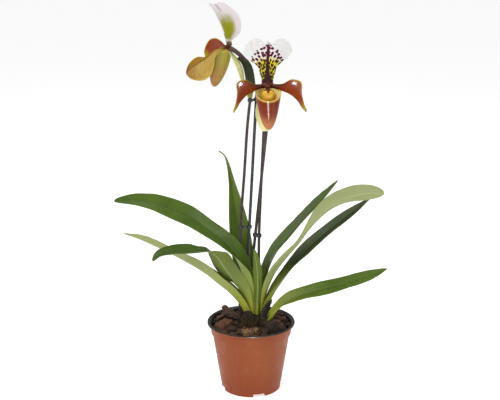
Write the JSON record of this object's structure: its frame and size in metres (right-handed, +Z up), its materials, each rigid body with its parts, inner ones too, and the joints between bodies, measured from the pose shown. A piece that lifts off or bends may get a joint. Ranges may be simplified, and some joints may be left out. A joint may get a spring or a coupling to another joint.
{
  "type": "potted slipper orchid",
  "caption": "Potted slipper orchid with arching folded leaves, two flowers on staked stems and a round nursery pot filled with bark.",
  "frame": {"origin": "middle of the pot's underside, on the flat central disc that the pot rests on", "axes": "+Z up along the pot's axis, +X to the right of someone who faces the front flower, -Y towards them"},
  "size_m": [0.3606, 0.1472, 0.5227],
  "materials": {
    "terracotta_plastic": "satin",
    "bark": "rough",
    "leaf": "satin",
    "dry_sheath": "rough",
    "stem": "matte",
    "black_plastic": "satin",
    "petal": "gloss",
    "sepal": "satin",
    "pouch": "gloss",
    "shield": "satin"
  },
  "bodies": {
    "root": {"bark": "bark", "clip_front_high": "black_plastic", "clip_front_low": "black_plastic", "clip_rear_high": "black_plastic", "clip_rear_low": "black_plastic", "crown": "dry_sheath", "front_bract": "leaf", "front_column": "shield", "front_dorsal_sepal": "sepal", "front_left_petal": "petal", "front_lower_sepal": "sepal", "front_ovary": "stem", "front_pouch": "pouch", "front_right_petal": "petal", "leaf_1": "leaf", "leaf_2": "leaf", "leaf_3": "leaf", "leaf_4": "leaf", "leaf_5": "leaf", "leaf_6": "leaf", "leaf_7": "leaf", "leaf_8": "leaf", "leaf_9": "leaf", "pot": "terracotta_plastic", "rear_bract": "leaf", "rear_column": "shield", "rear_dorsal_sepal": "sepal", "rear_left_petal": "petal", "rear_lower_sepal": "sepal", "rear_ovary": "stem", "rear_pouch": "pouch", "rear_right_petal": "petal", "sheath_front": "dry_sheath", "sheath_old": "dry_sheath", "stake_front": "black_plastic", "stake_rear": "black_plastic", "stem_front": "stem", "stem_rear": "stem"}
  },
  "joints": []
}
